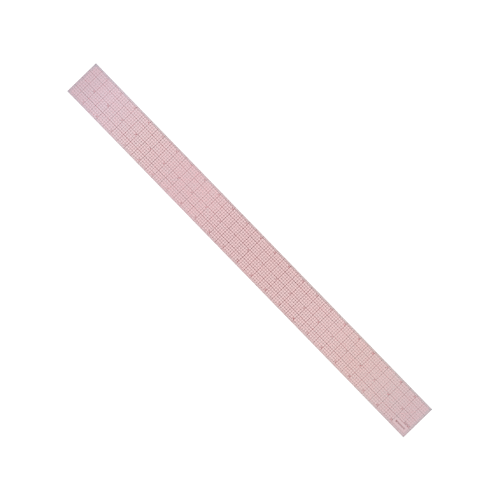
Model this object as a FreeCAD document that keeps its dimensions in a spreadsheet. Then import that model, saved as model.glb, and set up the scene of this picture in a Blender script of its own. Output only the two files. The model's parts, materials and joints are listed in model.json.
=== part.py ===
# Clear graph ruler, 24 inches by 2 inches: a red printed grid sealed between two clear plastic sheets.
#
# Frame, in millimetres: the origin is at the centre of the underside, below the zero of the centring scale.
# +X runs along the ruler towards the higher edge numbers, +Y to the far edge and +Z up to the printed face.
#
# From the bottom up the layers are the base sheet, a lower ink level (marks that run across the ruler,
# numerals and badge), an upper ink level (marks that run along the ruler, lying on the lower ones where
# they cross) and the cover film. Each ink body starts at the base sheet's corner at the zero end and near
# edge, so every place in its sketches is a positive distance along (left) or across (bottom) the ruler.
import FreeCAD
import Part
import math
import os
import Sketcher

Vector = FreeCAD.Vector
doc = FreeCAD.newDocument("GraphRuler")

# ---------------------------------------------------------------- driving dimensions
DIMENSIONS = {
    # the blade
    "one_inch": 25.4,
    "inches_long": 24,
    "inches_wide": 2,
    "base_thickness": 0.5,
    "cover_thickness": 0.25,
    "corner_radius": 0.4,
    "edge_round": 0.08,
    # the printed grid, which lies print_shift nearer the far edge than the blade's own middle
    "fine_steps_per_inch": 8,
    "bold_steps_per_inch": 2,
    "ink_thickness": 0.02,
    "fine_line_width": 0.27,
    "bold_line_width": 0.45,
    "tick_width": 0.27,
    "tick_length": 2.4,
    "print_margin": 0.3,
    "print_shift": 0.4,
    # the numerals; the last two are fine steps, from an edge to its row and from the middle down to its row
    "numeral_height": 2.1,
    "numeral_stroke": 0.3,
    "numeral_gap": 0.2,
    "numeral_inset": 1.5,
    "centring_drop": 0.5,
    # the clear window around the badge, in fine steps from the zero end and from the near edge
    "window_left": 184,
    "window_right": 191,
    "window_bottom": 1,
    "window_top": 4,
    # the badge's ring and bars
    "ring_radius": 1.25,
    "ring_hole_radius": 0.5,
    "badge_bars": 12,
    "badge_bar_width": 0.5,
    "badge_bar_height": 2.2,
    "badge_bar_pitch": 1.12,
    # the stock code's bars, in the cells above the window's right half
    "code_left": 188,
    "code_bars": 9,
    "code_bars_per_step": 3,
    "code_bar_width": 0.5,
    "code_bar_height": 1.9,
}
sheet = doc.addObject("Spreadsheet::Sheet", "Sizes")
for row, (alias, number) in enumerate(DIMENSIONS.items(), start=1):
    sheet.set(f"A{row}", alias)
    sheet.set(f"B{row}", str(number))
    sheet.setAlias(f"B{row}", alias)
doc.recompute()

# Expressions that several pieces share.
BLADE_LENGTH = "Sizes.inches_long * Sizes.one_inch"
BLADE_WIDTH = "Sizes.inches_wide * Sizes.one_inch"
FINE_PITCH = "Sizes.one_inch / Sizes.fine_steps_per_inch"
BOLD_PITCH = "Sizes.one_inch / Sizes.bold_steps_per_inch"
FINE_STEPS_LONG = "Sizes.inches_long * Sizes.fine_steps_per_inch"
FINE_STEPS_WIDE = "Sizes.inches_wide * Sizes.fine_steps_per_inch"
BOLD_STEPS_LONG = "Sizes.inches_long * Sizes.bold_steps_per_inch"
BOLD_STEPS_WIDE = "Sizes.inches_wide * Sizes.bold_steps_per_inch"
LOWER_INK = "Sizes.base_thickness"
UPPER_INK = "Sizes.base_thickness + Sizes.ink_thickness"
COVER_BOTTOM = "Sizes.base_thickness + 2 * Sizes.ink_thickness"

# Which of the fine steps, counted within one bold step, carry a fine line and which a bold one.
BOLD_STEP = int(sheet.fine_steps_per_inch / sheet.bold_steps_per_inch)
FINE_LINE_STEPS = range(1, BOLD_STEP)
BOLD_LINE_STEPS = [BOLD_STEP]


# ---------------------------------------------------------------- sketches
def new_body(label, x, y, z):
    """A body with its own origin at x, y, z (expressions); it may hold several separate solids."""
    body = doc.addObject("PartDesign::Body", label)
    body.Label = label
    body.AllowCompound = True
    body.setExpression(".Placement.Base.x", x)
    body.setExpression(".Placement.Base.y", y)
    body.setExpression(".Placement.Base.z", z)
    return body


def ink_body(label, level):
    return new_body(label, f"-({BLADE_LENGTH}) / 2", f"-({BLADE_WIDTH}) / 2", level)


def flat_sketch(body, name):
    """A sketch on the body's own XY plane."""
    plane = next(item for item in body.Origin.OriginFeatures if item.Role == "XY_Plane")
    sketch = body.newObject("Sketcher::SketchObject", name)
    sketch.AttachmentSupport = [(plane, "")]
    sketch.MapMode = "FlatFace"
    return sketch


def bind(sketch, name, kind, places, expression):
    """Adds a named dimension that follows an expression."""
    value = sketch.evalExpression(expression)
    index = sketch.addConstraint(Sketcher.Constraint(kind, *places, value))
    sketch.renameConstraint(index, name)
    sketch.setExpression(f".Constraints.{name}", expression)


def four_sides(sketch, low, high):
    """Four joined sides, level and upright, from the low corner; returns the first side's index."""
    corners = [low, Vector(high.x, low.y), high, Vector(low.x, high.y)]
    first = sketch.GeometryCount
    for side in range(4):
        sketch.addGeometry(Part.LineSegment(corners[side], corners[(side + 1) % 4]))
    for side in range(4):
        following = first + (side + 1) % 4
        direction = ("Horizontal", "Vertical")[side % 2]
        sketch.addConstraint(Sketcher.Constraint("Coincident", first + side, 2, following, 1))
        sketch.addConstraint(Sketcher.Constraint(direction, first + side))
    return first


def add_rectangle(sketch, name, left, bottom, width, height):
    """A rectangle with its low corner at left, bottom; all four measures are expressions."""
    low = Vector(sketch.evalExpression(left), sketch.evalExpression(bottom))
    high = low + Vector(sketch.evalExpression(width), sketch.evalExpression(height))
    first = four_sides(sketch, low, high)
    bind(sketch, f"{name}_left", "DistanceX", (-1, 1, first, 1), left)
    bind(sketch, f"{name}_bottom", "DistanceY", (-1, 1, first, 1), bottom)
    bind(sketch, f"{name}_width", "DistanceX", (first, 1, first, 2), width)
    bind(sketch, f"{name}_height", "DistanceY", (first + 1, 1, first + 1, 2), height)


def add_centred_rectangle(sketch, name, width, height):
    """A rectangle centred on the sketch's origin."""
    high = Vector(sketch.evalExpression(width) / 2, sketch.evalExpression(height) / 2)
    first = four_sides(sketch, -high, high)
    sketch.addConstraint(Sketcher.Constraint("Symmetric", first, 1, first + 1, 2, -1, 1))
    bind(sketch, f"{name}_width", "DistanceX", (first, 1, first, 2), width)
    bind(sketch, f"{name}_height", "DistanceY", (first + 1, 1, first + 1, 2), height)


def add_circle(sketch, name, left, bottom, radius):
    """A circle with its centre at left, bottom; all three measures are expressions."""
    centre = Vector(sketch.evalExpression(left), sketch.evalExpression(bottom))
    outline = Part.Circle(centre, Vector(0, 0, 1), sketch.evalExpression(radius))
    circle = sketch.addGeometry(outline)
    bind(sketch, f"{name}_left", "DistanceX", (-1, 1, circle, 3), left)
    bind(sketch, f"{name}_bottom", "DistanceY", (-1, 1, circle, 3), bottom)
    bind(sketch, f"{name}_radius", "Radius", (circle,), radius)


# ---------------------------------------------------------------- features
def pad_sketch(body, sketch, thickness):
    pad = body.newObject("PartDesign::Pad", f"{sketch.Name}_pad")
    pad.Profile = sketch
    pad.setExpression("Length", thickness)
    body.Tip = pad
    doc.recompute()
    return pad


def repeat(body, pad, sketch, axis, pitch, count):
    """Repeats the pad along the sketch's H_Axis or V_Axis."""
    pattern = body.newObject("PartDesign::LinearPattern", f"{sketch.Name}_pattern")
    pattern.Originals = [pad]
    pattern.Direction = (sketch, [axis])
    pattern.Mode = "Spacing"
    pattern.setExpression("Offset", pitch)
    pattern.setExpression("Occurrences", count)
    body.Tip = pattern
    doc.recompute()


def cut_window(body, inset_x, inset_y):
    """Clears the body's lines from the badge's window, pulled in so that the framing lines stay whole."""
    left = f"Sizes.window_left * {FINE_PITCH} + {inset_x}"
    bottom = f"Sizes.window_bottom * {FINE_PITCH} + Sizes.print_shift + {inset_y}"
    width = f"(Sizes.window_right - Sizes.window_left) * {FINE_PITCH} - 2 * {inset_x}"
    height = f"(Sizes.window_top - Sizes.window_bottom) * {FINE_PITCH} - 2 * {inset_y}"
    volume_before = body.Shape.Volume
    sketch = flat_sketch(body, f"{body.Label}_window")
    add_rectangle(sketch, "window", left, bottom, width, height)
    pocket = body.newObject("PartDesign::Pocket", f"{body.Label}_window_cut")
    pocket.Profile = sketch
    pocket.Type = "ThroughAll"
    pocket.Midplane = True
    body.Tip = pocket
    doc.recompute()
    if not body.Shape.Volume < volume_before:
        raise RuntimeError(f"the window cut nothing from {body.Label}")


def round_edges(body, base, name, edges, radius):
    fillet = body.newObject("PartDesign::Fillet", f"{body.Label}_{name}")
    fillet.Base = (base, edges)
    fillet.setExpression("Radius", radius)
    body.Tip = fillet
    doc.recompute()
    return fillet


# ---------------------------------------------------------------- the two clear sheets
def edge_names(feature, wanted):
    """Names of the feature's edges whose bounding box passes the test."""
    return [
        f"Edge{number}"
        for number, edge in enumerate(feature.Shape.Edges, start=1)
        if wanted(edge.BoundBox)
    ]


def is_upright(box):
    return box.XLength + box.YLength < box.ZLength


def lies_at(height):
    tolerance = 1e-6

    def test(box):
        return max(abs(box.ZMin - height), abs(box.ZMax - height)) < tolerance

    return test


def clear_sheet(label, level, thickness, outer_face):
    """One sheet of the laminate, with sharp-looking corners and a rim eased at its outer face's height."""
    body = new_body(label, "0", "0", level)
    sketch = flat_sketch(body, f"{label}_outline")
    add_centred_rectangle(sketch, "blade", BLADE_LENGTH, BLADE_WIDTH)
    pad = pad_sketch(body, sketch, thickness)
    corners = round_edges(body, pad, "corners", edge_names(pad, is_upright), "Sizes.corner_radius")
    rim = edge_names(corners, lies_at(outer_face))
    round_edges(body, corners, "rim", rim, "Sizes.edge_round")
    return body


# ---------------------------------------------------------------- grid lines
def cross_lines(label, steps, line_width, count):
    """Lines across the whole ruler at the given fine steps, repeated at every bold step."""
    body = ink_body(label, LOWER_INK)
    sketch = flat_sketch(body, f"{label}_bars")
    length = f"{BLADE_WIDTH} - 2 * Sizes.print_margin"
    for step in steps:
        left = f"{step} * {FINE_PITCH} - {line_width} / 2"
        add_rectangle(sketch, f"bar{step}", left, "Sizes.print_margin", line_width, length)
    pad = pad_sketch(body, sketch, "Sizes.ink_thickness")
    repeat(body, pad, sketch, "H_Axis", BOLD_PITCH, count)
    cut_window(body, "Sizes.bold_line_width", "0")
    return body


def long_lines(label, steps, line_width, count):
    """Lines along the whole ruler at the given fine steps, repeated at every bold step."""
    body = ink_body(label, UPPER_INK)
    sketch = flat_sketch(body, f"{label}_bars")
    length = f"{BLADE_LENGTH} - 2 * Sizes.print_margin"
    for step in steps:
        bottom = f"{step} * {FINE_PITCH} + Sizes.print_shift - {line_width} / 2"
        add_rectangle(sketch, f"bar{step}", "Sizes.print_margin", bottom, length, line_width)
    pad = pad_sketch(body, sketch, "Sizes.ink_thickness")
    repeat(body, pad, sketch, "V_Axis", BOLD_PITCH, count)
    return body


# ---------------------------------------------------------------- sixteenth-inch ticks
HALF_STEP = f"{FINE_PITCH} / 2 - Sizes.tick_width / 2"


def edge_ticks(label, bottom):
    """Ticks halfway between the cross lines, along one long edge."""
    body = ink_body(label, LOWER_INK)
    sketch = flat_sketch(body, f"{label}_mark")
    add_rectangle(sketch, "mark", HALF_STEP, bottom, "Sizes.tick_width", "Sizes.tick_length")
    pad = pad_sketch(body, sketch, "Sizes.ink_thickness")
    repeat(body, pad, sketch, "H_Axis", FINE_PITCH, FINE_STEPS_LONG)
    return body


def end_ticks(label, left):
    """Ticks halfway between the long lines, at one end."""
    body = ink_body(label, UPPER_INK)
    sketch = flat_sketch(body, f"{label}_mark")
    bottom = f"{HALF_STEP} + Sizes.print_shift"
    add_rectangle(sketch, "mark", left, bottom, "Sizes.tick_length", "Sizes.tick_width")
    pad = pad_sketch(body, sketch, "Sizes.ink_thickness")
    repeat(body, pad, sketch, "V_Axis", FINE_PITCH, FINE_STEPS_WIDE)
    return body


# ---------------------------------------------------------------- badge and stock code
def maker_badge():
    """A ring and a row of plain bars, halfway up the clear window."""
    body = ink_body("maker_badge", LOWER_INK)
    middle = f"(Sizes.window_bottom + Sizes.window_top) / 2 * {FINE_PITCH} + Sizes.print_shift"
    ring_centre = f"(Sizes.window_left + 1) * {FINE_PITCH} + Sizes.ring_radius"
    ring_sketch = flat_sketch(body, "badge_ring")
    add_circle(ring_sketch, "outer", ring_centre, middle, "Sizes.ring_radius")
    add_circle(ring_sketch, "hole", ring_centre, middle, "Sizes.ring_hole_radius")
    pad_sketch(body, ring_sketch, "Sizes.ink_thickness")
    bar = flat_sketch(body, "badge_bar")
    left = f"{ring_centre} + Sizes.ring_radius + Sizes.badge_bar_width"
    bottom = f"{middle} - Sizes.badge_bar_height / 2"
    add_rectangle(bar, "bar", left, bottom, "Sizes.badge_bar_width", "Sizes.badge_bar_height")
    pad = pad_sketch(body, bar, "Sizes.ink_thickness")
    repeat(body, pad, bar, "H_Axis", "Sizes.badge_bar_pitch", "Sizes.badge_bars")
    return body


def code_bars():
    """A row of small plain bars above the window, spaced so that none lands on a cross line."""
    body = ink_body("code_bars", LOWER_INK)
    sketch = flat_sketch(body, "code_bar")
    pitch = f"{FINE_PITCH} / Sizes.code_bars_per_step"
    left = f"Sizes.code_left * {FINE_PITCH} + {pitch} / 2 - Sizes.code_bar_width / 2"
    middle = f"(Sizes.window_top + 0.5) * {FINE_PITCH} + Sizes.print_shift"
    bottom = f"{middle} - Sizes.code_bar_height / 2"
    add_rectangle(sketch, "bar", left, bottom, "Sizes.code_bar_width", "Sizes.code_bar_height")
    pad = pad_sketch(body, sketch, "Sizes.ink_thickness")
    repeat(body, pad, sketch, "H_Axis", pitch, "Sizes.code_bars")
    return body


# ---------------------------------------------------------------- numerals
# A digit is drawn as pen strokes along its centre lines. One unit is the radius of a bowl, the round half
# of an 8, so a digit's centre lines fill 2 units across and 4 units up from their low left corner.
BOWL = (sheet.numeral_height - sheet.numeral_stroke) / 4
PEN_WIDTH = sheet.numeral_stroke
DIGIT_WIDTH = 2 * BOWL + PEN_WIDTH


def at(x, y):
    return Vector(x * BOWL, y * BOWL)


def path(*points):
    """Straight lines through the points, each given in bowl units."""
    places = [at(*point) for point in points]
    return [Part.LineSegment(a, b).toShape() for a, b in zip(places, places[1:])]


def bow(x, y, radius, start, end):
    """An arc about x, y from one angle to another, in degrees, anticlockwise when end is the larger."""
    angles = [math.radians(angle) for angle in (start, (start + end) / 2, end)]
    places = [at(x + radius * math.cos(angle), y + radius * math.sin(angle)) for angle in angles]
    return [Part.Arc(*places).toShape()]


def ring(x, y):
    """A full bowl, as two strokes."""
    return [bow(x, y, 1, 0, 180), bow(x, y, 1, 180, 360)]


DIGIT_STROKES = {
    "0": [path((0, 1), (0, 3)) + bow(1, 3, 1, 180, 0), path((2, 3), (2, 1)) + bow(1, 1, 1, 0, -180)],
    "1": [path((0.5, 3.3), (1.2, 4), (1.2, 0))],
    "2": [bow(1, 3, 1, 165, -30), path((1.87, 2.5), (0, 0), (2, 0))],
    "3": [bow(1, 3, 1, 150, -90), bow(1, 1, 1, 90, -150)],
    "4": [path((1.5, 0), (1.5, 4), (0, 1.2)), path((1.5, 4), (0, 1.2), (2, 1.2))],
    "5": [path((1.8, 4), (0.2, 4), (0.1, 2.1)), bow(0.85, 1.15, 1.15, 130, -140)],
    "6": [*ring(1, 1), bow(3, 1, 3, 180, 105)],
    "7": [path((0, 4), (2, 4), (0.6, 0))],
    "8": [*ring(1, 3), *ring(1, 1)],
    "9": [*ring(1, 3), bow(-1, 3, 3, 0, -75)],
}


def digit_solid(digit):
    """The digit's strokes at pen width, joined and given the ink's thickness."""
    strokes = []
    for edges in DIGIT_STROKES[digit]:
        outline = Part.Wire(edges).makeOffset2D(PEN_WIDTH / 2, fill=True)
        strokes.append(outline.extrude(Vector(0, 0, sheet.ink_thickness)))
    solid = strokes[0].fuse(strokes[1:]) if len(strokes) > 1 else strokes[0]
    return solid.removeSplitter()


DIGITS = {digit: digit_solid(digit) for digit in DIGIT_STROKES}


def number_solids(number, centre):
    """The number's digits side by side, centred on a place on the ruler."""
    text = str(number)
    advance = DIGIT_WIDTH + sheet.numeral_gap
    first = centre - Vector((len(text) - 1) * advance / 2 + BOWL, 2 * BOWL)
    return [DIGITS[digit].translated(first + Vector(place * advance, 0)) for place, digit in enumerate(text)]


def numerals(label, numbers, fine_steps_up):
    """One number beside each inch line, in the cell before it."""
    fine_pitch = sheet.one_inch / sheet.fine_steps_per_inch
    height = fine_steps_up * fine_pitch + sheet.print_shift
    solids = []
    for inch, number in enumerate(numbers, start=1):
        centre = Vector(inch * sheet.one_inch - fine_pitch / 2, height)
        solids += number_solids(number, centre)
    feature = doc.addObject("Part::Feature", label)
    feature.Label = label
    feature.Shape = Part.makeCompound(solids)
    corner = Vector(-sheet.inches_long * sheet.one_inch / 2, -sheet.inches_wide * sheet.one_inch / 2)
    feature.Placement = FreeCAD.Placement(corner + Vector(0, 0, sheet.base_thickness), FreeCAD.Rotation())
    return feature


# ---------------------------------------------------------------- the ruler
inch_lines = range(1, int(sheet.inches_long))
middle_inch = int(sheet.inches_long / 2)
centring_numbers = [abs(inch - middle_inch) for inch in inch_lines]
steps_wide = sheet.inches_wide * sheet.fine_steps_per_inch
far_tick_bottom = f"{BLADE_WIDTH} - Sizes.print_margin - Sizes.tick_length"
right_tick_left = f"{BLADE_LENGTH} - Sizes.print_margin - Sizes.tick_length"

fine_long = long_lines("fine_long_lines", FINE_LINE_STEPS, "Sizes.fine_line_width", BOLD_STEPS_WIDE)
cut_window(fine_long, "0", "Sizes.bold_line_width")
pieces = [
    clear_sheet("base_sheet", "0", "Sizes.base_thickness", outer_face=0),
    clear_sheet("cover_film", COVER_BOTTOM, "Sizes.cover_thickness", outer_face=sheet.cover_thickness),
    cross_lines("fine_cross_lines", FINE_LINE_STEPS, "Sizes.fine_line_width", BOLD_STEPS_LONG),
    cross_lines("bold_cross_lines", BOLD_LINE_STEPS, "Sizes.bold_line_width", f"{BOLD_STEPS_LONG} - 1"),
    fine_long,
    long_lines("bold_long_lines", BOLD_LINE_STEPS, "Sizes.bold_line_width", f"{BOLD_STEPS_WIDE} - 1"),
    edge_ticks("far_edge_ticks", far_tick_bottom),
    edge_ticks("near_edge_ticks", "Sizes.print_margin"),
    end_ticks("left_end_ticks", "Sizes.print_margin"),
    end_ticks("right_end_ticks", right_tick_left),
    numerals("far_edge_numerals", inch_lines, steps_wide - sheet.numeral_inset),
    numerals("near_edge_numerals", inch_lines, sheet.numeral_inset),
    numerals("centring_numerals", centring_numbers, steps_wide / 2 - sheet.centring_drop),
    maker_badge(),
    code_bars(),
]
doc.recompute()

# ---------------------------------------------------------------- checks and export
for item in doc.Objects:
    if "Invalid" in item.State or "Error" in item.State:
        raise RuntimeError(f"{item.Label} did not recompute: {item.State}")
for piece in pieces:
    if piece.Shape.isNull() or not piece.Shape.isValid():
        raise RuntimeError(f"{piece.Label} has no valid shape")

os.makedirs("parts", exist_ok=True)
for piece in pieces:
    piece.Shape.exportStep(f"parts/{piece.Label}.step")
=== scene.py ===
# Looks of a clear graph ruler: a red printed grid sealed between two clear plastic sheets, on a pale floor.
# Metres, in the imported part's own frame: +X along the ruler from its zero end, +Y to its far edge, +Z up.
import json
import math

import bpy
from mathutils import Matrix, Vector


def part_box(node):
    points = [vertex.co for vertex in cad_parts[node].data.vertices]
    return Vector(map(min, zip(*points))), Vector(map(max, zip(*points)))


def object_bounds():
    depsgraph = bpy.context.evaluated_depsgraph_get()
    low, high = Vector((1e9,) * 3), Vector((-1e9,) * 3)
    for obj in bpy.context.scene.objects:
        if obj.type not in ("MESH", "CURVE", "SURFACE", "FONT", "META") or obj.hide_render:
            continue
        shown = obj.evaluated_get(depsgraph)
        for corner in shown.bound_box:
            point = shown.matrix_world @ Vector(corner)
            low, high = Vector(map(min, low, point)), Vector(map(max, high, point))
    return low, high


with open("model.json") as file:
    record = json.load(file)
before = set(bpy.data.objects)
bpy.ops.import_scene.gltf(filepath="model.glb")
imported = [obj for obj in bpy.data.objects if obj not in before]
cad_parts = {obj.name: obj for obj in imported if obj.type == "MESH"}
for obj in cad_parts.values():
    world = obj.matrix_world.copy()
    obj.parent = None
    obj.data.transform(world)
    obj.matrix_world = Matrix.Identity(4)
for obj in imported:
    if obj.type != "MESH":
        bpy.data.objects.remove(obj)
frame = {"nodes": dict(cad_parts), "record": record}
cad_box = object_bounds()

MM = 0.001
LOW, HIGH = cad_box
LENGTH = HIGH.x - LOW.x
WIDTH = HIGH.y - LOW.y
PRINT_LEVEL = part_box("base_sheet")[1].z
SLOT_OF = {part["node"]: part["material_slot"] for part in frame["record"]["subparts"]}
WHITE = (1.0, 1.0, 1.0)


# ---------------------------------------------------------------- node helpers
def feed(tree, socket, value):
    """Links another node's socket into this one, or sets it to a plain value."""
    if isinstance(value, bpy.types.NodeSocket):
        tree.links.new(value, socket)
    else:
        socket.default_value = value


def add(tree, kind, settings=None, **inputs):
    """A node of this kind; inputs are sockets or plain values, by socket name with _ for a space."""
    node = tree.nodes.new(kind)
    for name, value in (settings or {}).items():
        setattr(node, name, value)
    for name, value in inputs.items():
        feed(tree, node.inputs[name.replace("_", " ")], value)
    return node


def maths(tree, operation, *values):
    """A Math node; each value is a socket or a number."""
    node = add(tree, "ShaderNodeMath", dict(operation=operation))
    for socket, value in zip(node.inputs, values):
        feed(tree, socket, value)
    return node.outputs[0]


def ramp(tree, factor, stops):
    """A ColorRamp with (position, colour) stops, two or more."""
    node = add(tree, "ShaderNodeValToRGB", Fac=factor)
    elements = node.color_ramp.elements
    while len(elements) < len(stops):
        elements.new(0.5)
    for element, (position, colour) in zip(elements, stops):
        element.position = position
        element.color = (*colour, 1)
    return node.outputs["Color"]


def grey_ramp(tree, factor, stops):
    """A ramp of plain (position, value) stops."""
    return ramp(tree, factor, [(position, (value,) * 3) for position, value in stops])


def spread(tree, factor, low, high):
    """Maps a 0 to 1 factor to low to high."""
    return add(tree, "ShaderNodeMapRange", Value=factor, To_Min=low, To_Max=high).outputs[0]


def plain_colour(tree, colour):
    """A socket that holds one colour."""
    node = add(tree, "ShaderNodeRGB")
    node.outputs[0].default_value = (*colour, 1)
    return node.outputs[0]


def tinted(tree, colour, factor):
    """The colour times a factor."""
    node = add(tree, "ShaderNodeVectorMath", dict(operation="SCALE"), Scale=factor)
    feed(tree, node.inputs[0], colour)
    return node.outputs[0]


def mix_colours(tree, factor, first, second, blend="MIX"):
    node = add(tree, "ShaderNodeMix", dict(data_type="RGBA", blend_type=blend))
    for name, value in (("Factor_Float", factor), ("A_Color", first), ("B_Color", second)):
        feed(tree, next(item for item in node.inputs if item.identifier == name), value)
    return next(item for item in node.outputs if item.identifier == "Result_Color")


def times(tree, first, second):
    """Two colours multiplied."""
    return mix_colours(tree, 1.0, first, second, blend="MULTIPLY")


def noise(tree, place, scale=1.0, detail=2.0, roughness=0.5, stretch=None):
    """A Noise texture's factor, at scale patches per metre; stretch scales the axes first. The patterns below
    are dicts of these inputs."""
    if stretch is not None:
        place = add(tree, "ShaderNodeMapping", Vector=place, Scale=stretch).outputs[0]
    settings = dict(Scale=scale, Detail=detail, Roughness=roughness)
    return add(tree, "ShaderNodeTexNoise", Vector=place, **settings).outputs["Fac"]


def mix_shaders(tree, factor, first, second):
    node = add(tree, "ShaderNodeMixShader")
    for socket, value in zip(node.inputs, (factor, first, second)):
        feed(tree, socket, value)
    return node.outputs[0]


def see_through(tree, colour=WHITE):
    node = add(tree, "ShaderNodeBsdfTransparent")
    feed(tree, node.inputs["Color"], (*colour, 1) if isinstance(colour, tuple) else colour)
    return node.outputs[0]


def new_material(name):
    material = bpy.data.materials.new(name)
    material.use_nodes = True
    material.node_tree.nodes.clear()
    return material, material.node_tree


def finish_material(tree, surface):
    add(tree, "ShaderNodeOutputMaterial", Surface=surface)


def object_place(tree):
    """Object coordinates, which are metres in the part's frame."""
    return add(tree, "ShaderNodeTexCoord").outputs["Object"]


def axis(tree, vector, name):
    return add(tree, "ShaderNodeSeparateXYZ", Vector=vector).outputs[name]


def how_far_along(tree, place):
    """0 at the zero end of the ruler and 1 at the other end."""
    return maths(tree, "DIVIDE", maths(tree, "SUBTRACT", axis(tree, place, "X"), LOW.x), LENGTH)


# ---------------------------------------------------------------- clear plastic
# The plastic's colour along the ruler, partly its own tint and partly painted shade: darkened for the dimmer
# backdrop seen through the sheet, and rosier for the pink shadow that the red grid would cast on the floor
# below, which the ruler doesn't cast here. Rose, drifting to lilac at the zero end and to grey at the other.
BODY_TINT_AND_SHADE = [
    (0.0, (0.83, 0.71, 0.75)),
    (0.07, (0.88, 0.76, 0.80)),
    (0.19, (0.91, 0.78, 0.79)),
    (0.3, (0.89, 0.74, 0.76)),
    (0.42, (0.91, 0.76, 0.77)),
    (0.55, (0.91, 0.76, 0.76)),
    (0.72, (0.91, 0.77, 0.77)),
    (0.82, (0.89, 0.75, 0.74)),
    (0.9, (0.86, 0.74, 0.74)),
    (1.0, (0.83, 0.71, 0.73)),
]

# Slow drifts of that colour: a faint blush, and a patchy haze.
BLUSH = [(0.3, (0.985, 1.0, 1.0)), (0.7, (1.0, 0.985, 0.985))]
BLUSH_PATTERN = dict(scale=110)
CLOUD = (0.99, 1.01)
CLOUD_PATTERN = dict(scale=18, detail=3)

# Painted shade along the cut edges: a greyer, darker rim, by the share of its reach from the edge inwards,
# and how strong it is at the near and the far edge. The far edge takes more of the painted shade.
PAINTED_RIM_SHADE = [
    (0.0, (0.90, 0.98, 0.975)),
    (0.28, (0.965, 1.03, 1.025)),
    (0.48, (0.955, 1.01, 1.01)),
    (0.67, (0.985, 1.0, 1.0)),
    (0.85, WHITE),
]
END_RIM_REACH = 5.2 * MM
SIDE_RIM_REACH = 4 * MM
NEAR_RIM_STRENGTH = 0.7
FAR_RIM_STRENGTH = 1.0

# A face this near to its sheet's outer height is open to the air.
FACE_TOLERANCE = 0.1 * MM

# The shine of an open face, and the handling marks, hairline scratches and slow swell that break it up.
VINYL_INDEX = 1.53
GLOSS_ROUGHNESS = (0.05, 0.12)
HANDLING_PATTERN = dict(scale=240)
SCRATCH_PATTERN = dict(detail=5, roughness=0.7, stretch=(30, 2600, 1))
HAIRLINE_START = 0.62
HAIRLINE_SOFTNESS = 0.02
SWELL_PATTERN = dict(scale=55)
SWELL_DEPTH = 0.4 * MM
SWELL_STRENGTH = 0.25

# The frosted cut edges: every face whose normal is nearer to level than this.
EDGE_SLOPE = 0.6
EDGE_COLOUR = [(0.3, (0.50, 0.44, 0.46)), (0.7, (0.68, 0.60, 0.62))]
EDGE_ROUGHNESS = 0.35
EDGE_CLEARNESS = 0.45
SAW_PATTERN = dict(detail=3, stretch=(1500, 1500, 300))


def painted_rim_shade(tree, place):
    """The painted rim shade: ends times sides, so the painted shade is twice as deep in the corners."""
    shades = []
    for name, half, reach in (("X", LENGTH / 2, END_RIM_REACH), ("Y", WIDTH / 2, SIDE_RIM_REACH)):
        inward = maths(tree, "SUBTRACT", half, maths(tree, "ABSOLUTE", axis(tree, place, name)))
        shades.append(ramp(tree, maths(tree, "DIVIDE", inward, reach), PAINTED_RIM_SHADE))
    across = add(
        tree, "ShaderNodeMapRange", Value=axis(tree, place, "Y"), From_Min=LOW.y, From_Max=HIGH.y,
        To_Min=NEAR_RIM_STRENGTH, To_Max=FAR_RIM_STRENGTH,
    )
    return mix_colours(tree, across.outputs[0], (*WHITE, 1), times(tree, *shades))


def plastic_face(tree, place, outer_height):
    """The flat faces, without their shine and with it. The inner face is bonded to the other sheet, so only
    the outer one is tinted, carries the painted shade, and is shiny."""
    outer = maths(tree, "COMPARE", axis(tree, place, "Z"), outer_height, FACE_TOLERANCE)
    # The plastic's colour with its painted shade, times the painted shade along the rim.
    tint = times(tree, ramp(tree, how_far_along(tree, place), BODY_TINT_AND_SHADE), painted_rim_shade(tree, place))
    blushed = times(tree, tint, ramp(tree, noise(tree, place, **BLUSH_PATTERN), BLUSH))
    clouded = tinted(tree, blushed, spread(tree, noise(tree, place, **CLOUD_PATTERN), *CLOUD))
    clear = mix_shaders(tree, outer, see_through(tree), see_through(tree, clouded))

    scratches = noise(tree, place, **SCRATCH_PATTERN)
    deep = maths(tree, "SUBTRACT", scratches, HAIRLINE_START)
    hairlines = maths(tree, "SMOOTH_MAX", deep, 0.0, HAIRLINE_SOFTNESS)
    handled = spread(tree, noise(tree, place, **HANDLING_PATTERN), *GLOSS_ROUGHNESS)
    swell = noise(tree, place, **SWELL_PATTERN)
    bump = add(tree, "ShaderNodeBump", Height=swell, Strength=SWELL_STRENGTH, Distance=SWELL_DEPTH)
    waves = bump.outputs[0]
    gloss = add(tree, "ShaderNodeBsdfGlossy", Roughness=maths(tree, "ADD", handled, hairlines), Normal=waves)
    from_below = add(tree, "ShaderNodeNewGeometry").outputs["Backfacing"]
    index = spread(tree, from_below, VINYL_INDEX, 1 / VINYL_INDEX)
    mirror = add(tree, "ShaderNodeFresnel", IOR=index, Normal=waves).outputs[0]
    return clear, mix_shaders(tree, maths(tree, "MULTIPLY", mirror, outer), clear, gloss.outputs[0])


def clear_plastic(name, outer_height):
    """Clear vinyl, frosted on its cut edges."""
    material, tree = new_material(name)
    place = object_place(tree)
    clear, face = plastic_face(tree, place, outer_height)
    saw_marks = ramp(tree, noise(tree, place, **SAW_PATTERN), EDGE_COLOUR)
    frosted = add(tree, "ShaderNodeBsdfPrincipled", Base_Color=saw_marks, Roughness=EDGE_ROUGHNESS).outputs[0]
    edge = mix_shaders(tree, EDGE_CLEARNESS, frosted, clear)
    facing = add(tree, "ShaderNodeNewGeometry").outputs["True Normal"]
    is_edge = maths(tree, "LESS_THAN", maths(tree, "ABSOLUTE", axis(tree, facing, "Z")), EDGE_SLOPE)
    finish_material(tree, mix_shaders(tree, is_edge, face, edge))
    return material


# ---------------------------------------------------------------- ink
FINE_RED = (0.14, 0.034, 0.042)
BOLD_RED = (0.17, 0.030, 0.040)
NUMERAL_RED = (0.30, 0.02, 0.04)
BADGE_RED = (0.24, 0.10, 0.11)

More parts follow.
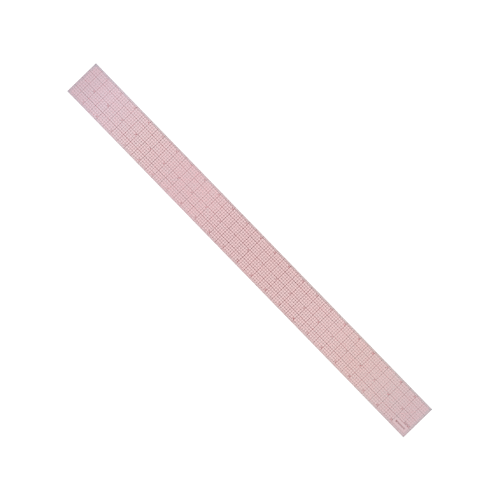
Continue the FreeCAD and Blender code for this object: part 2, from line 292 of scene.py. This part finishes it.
# Each ink, by what the names of its nodes have in common: its colour, and how evenly it is laid down. At 0 it
# follows PRINT_WEIGHT all the way, and at 1 it has its full weight everywhere.
INKS = {
    "fine_cross": (FINE_RED, 0.0),
    "fine_long": (FINE_RED, 0.16),
    "bold_cross": (BOLD_RED, 0.12),
    "bold_long": (BOLD_RED, 0.32),
    "ticks": (BOLD_RED, 0.12),
    "numerals": (NUMERAL_RED, 0.5),
    "badge": (BADGE_RED, 0.5),
    "code": (BADGE_RED, 0.35),
}

# How heavily the print is laid down, by the share of the way along the ruler: it is thinner at both ends and
# about a third of the way along.
PRINT_WEIGHT = [
    (0.02, 0.22), (0.11, 0.36), (0.19, 0.70), (0.30, 0.33), (0.36, 0.38), (0.44, 0.95), (0.64, 0.95),
    (0.75, 0.52), (0.82, 0.46), (0.89, 0.24), (0.96, 0.24), (1.0, 0.12),
]

# How opaque the ink is, how it stains the light that it lets through, and how uneven it is.
INK_BODY = 0.9
INK_STAIN = (0.95, 0.30, 0.33)
INK_ROUGHNESS = 0.6
MOTTLE = (0.85, 1.15)
MOTTLE_PATTERN = dict(scale=900, detail=3)
PATCHES = (0.95, 1.05)
PATCH_PATTERN = dict(scale=30)


def red_ink(name, colour, evenness):
    """Screen-printed ink: mottled, matt, partly see-through, and laid down more or less heavily."""
    material, tree = new_material(name)
    place = object_place(tree)
    mottle = spread(tree, noise(tree, place, **MOTTLE_PATTERN), *MOTTLE)
    patches = spread(tree, noise(tree, place, **PATCH_PATTERN), *PATCHES)
    shade = tinted(tree, plain_colour(tree, colour), maths(tree, "MULTIPLY", mottle, patches))
    matt = dict(Base_Color=shade, Roughness=INK_ROUGHNESS, Specular_IOR_Level=0)
    solid = add(tree, "ShaderNodeBsdfPrincipled", **matt).outputs[0]
    laid = mix_shaders(tree, INK_BODY, see_through(tree, INK_STAIN), solid)
    weight = spread(tree, grey_ramp(tree, how_far_along(tree, place), PRINT_WEIGHT), evenness, 1.0)
    finish_material(tree, mix_shaders(tree, weight, see_through(tree), laid))
    return material


def dress_nodes():
    """The sheets take their look by their material slot, and the printed nodes by their kind of mark."""
    sheets = {
        "clear_sheet": clear_plastic("clear_sheet", LOW.z),
        "clear_film": clear_plastic("clear_film", HIGH.z),
    }
    inks = {kind: red_ink(f"red_ink_{kind}", *look) for kind, look in INKS.items()}
    for name, piece in frame["nodes"].items():
        look = sheets.get(SLOT_OF[name]) or next(ink for kind, ink in inks.items() if kind in name)
        piece.data.materials.clear()
        piece.data.materials.append(look)
        piece.visible_diffuse = False


# ---------------------------------------------------------------- studio
FLOOR_GAP = 0.05 * MM
FLOOR_SIDE = 24
FLOOR_PAINT = [(0.0, 0.88), (1.0, 0.90)]
FLOOR_PATTERN = dict(scale=3, detail=4)
WHITE_LIGHT = 1.2

# What shines in the plastic, by the height of the direction it comes from: bright walls, a darker floor and
# ceiling.
MIRRORED_ROOM = [(0.0, 0.70), (0.15, 0.80), (0.4, 1.2), (0.55, 1.3), (0.85, 0.35)]


def pale_floor():
    """A wide pale sheet just under the ruler."""
    mesh = bpy.data.meshes.new("floor")
    reach = FLOOR_SIDE / 2
    corners = [(-reach, -reach), (reach, -reach), (reach, reach), (-reach, reach)]
    mesh.from_pydata([(x, y, LOW.z - FLOOR_GAP) for x, y in corners], [], [(0, 1, 2, 3)])
    floor = bpy.data.objects.new("floor", mesh)
    bpy.context.scene.collection.objects.link(floor)
    material, tree = new_material("floor_paint")
    paint = grey_ramp(tree, noise(tree, object_place(tree), **FLOOR_PATTERN), FLOOR_PAINT)
    finish_material(tree, add(tree, "ShaderNodeBsdfDiffuse", Color=paint).outputs[0])
    mesh.materials.append(material)


def studio_light():
    """Even white light all round, with the mirrored room in its place where the plastic shines."""
    world = bpy.data.worlds.new("studio")
    world.use_nodes = True
    world.cycles.sampling_method = "NONE"
    tree = world.node_tree
    tree.nodes.clear()
    direction = add(tree, "ShaderNodeTexCoord").outputs["Generated"]
    room = grey_ramp(tree, axis(tree, direction, "Z"), MIRRORED_ROOM)
    is_mirror = add(tree, "ShaderNodeLightPath").outputs["Is Glossy Ray"]
    seen = mix_colours(tree, is_mirror, plain_colour(tree, (WHITE_LIGHT,) * 3), room)
    background = add(tree, "ShaderNodeBackground", Color=seen).outputs[0]
    add(tree, "ShaderNodeOutputWorld", Surface=background)
    bpy.context.scene.world = world


# ---------------------------------------------------------------- camera
# The picture's width as a share of the ruler's length, how the ruler is turned in it, and how far the ruler's
# middle lies right of and above the picture's, as shares of its width.
PICTURE_TO_LENGTH = 1.0359
TURN = math.radians(45.845)
CENTRE_RIGHT = -0.00064
CENTRE_UP = -0.00056
LENS = 120
SENSOR = 36

SEE_THROUGH_FACES = 48
PIXEL_FILTER = 1.7
SHARPENING = 0.06


def camera_above():
    """Looks straight down from far above, level with the picture's sides."""
    picture = PICTURE_TO_LENGTH * LENGTH
    data = bpy.data.cameras.new("camera")
    data.lens = LENS
    data.sensor_width = SENSOR
    camera = bpy.data.objects.new("camera", data)
    camera.rotation_euler = (0, 0, TURN)
    right = Vector((math.cos(TURN), math.sin(TURN), 0))
    up = Vector((-math.sin(TURN), math.cos(TURN), 0))
    over = -(right * CENTRE_RIGHT + up * CENTRE_UP) * picture
    camera.location = over + Vector((0, 0, PRINT_LEVEL + picture * LENS / SENSOR))
    bpy.context.scene.collection.objects.link(camera)
    bpy.context.scene.camera = camera


def picture_settings():
    """Rays cross every clear face in their way with none dropped by chance, and the fine grid isn't smoothed
    away."""
    scene = bpy.context.scene
    scene.view_settings.view_transform = "Standard"
    scene.cycles.transparent_max_bounces = SEE_THROUGH_FACES
    scene.cycles.min_transparent_bounces = SEE_THROUGH_FACES
    scene.cycles.use_denoising = False
    scene.cycles.use_adaptive_sampling = False
    scene.cycles.filter_width = PIXEL_FILTER


def sharpen_picture():
    """A light sharpening, as a camera gives its pictures."""
    scene = bpy.context.scene
    scene.use_nodes = True
    tree = scene.node_tree
    tree.nodes.clear()
    taken = add(tree, "CompositorNodeRLayers").outputs["Image"]
    sharper = add(tree, "CompositorNodeFilter", dict(filter_type="SHARPEN"), Fac=SHARPENING, Image=taken)
    add(tree, "CompositorNodeComposite", Image=sharper.outputs["Image"])


dress_nodes()
pale_floor()
studio_light()
camera_above()
picture_settings()
sharpen_picture()
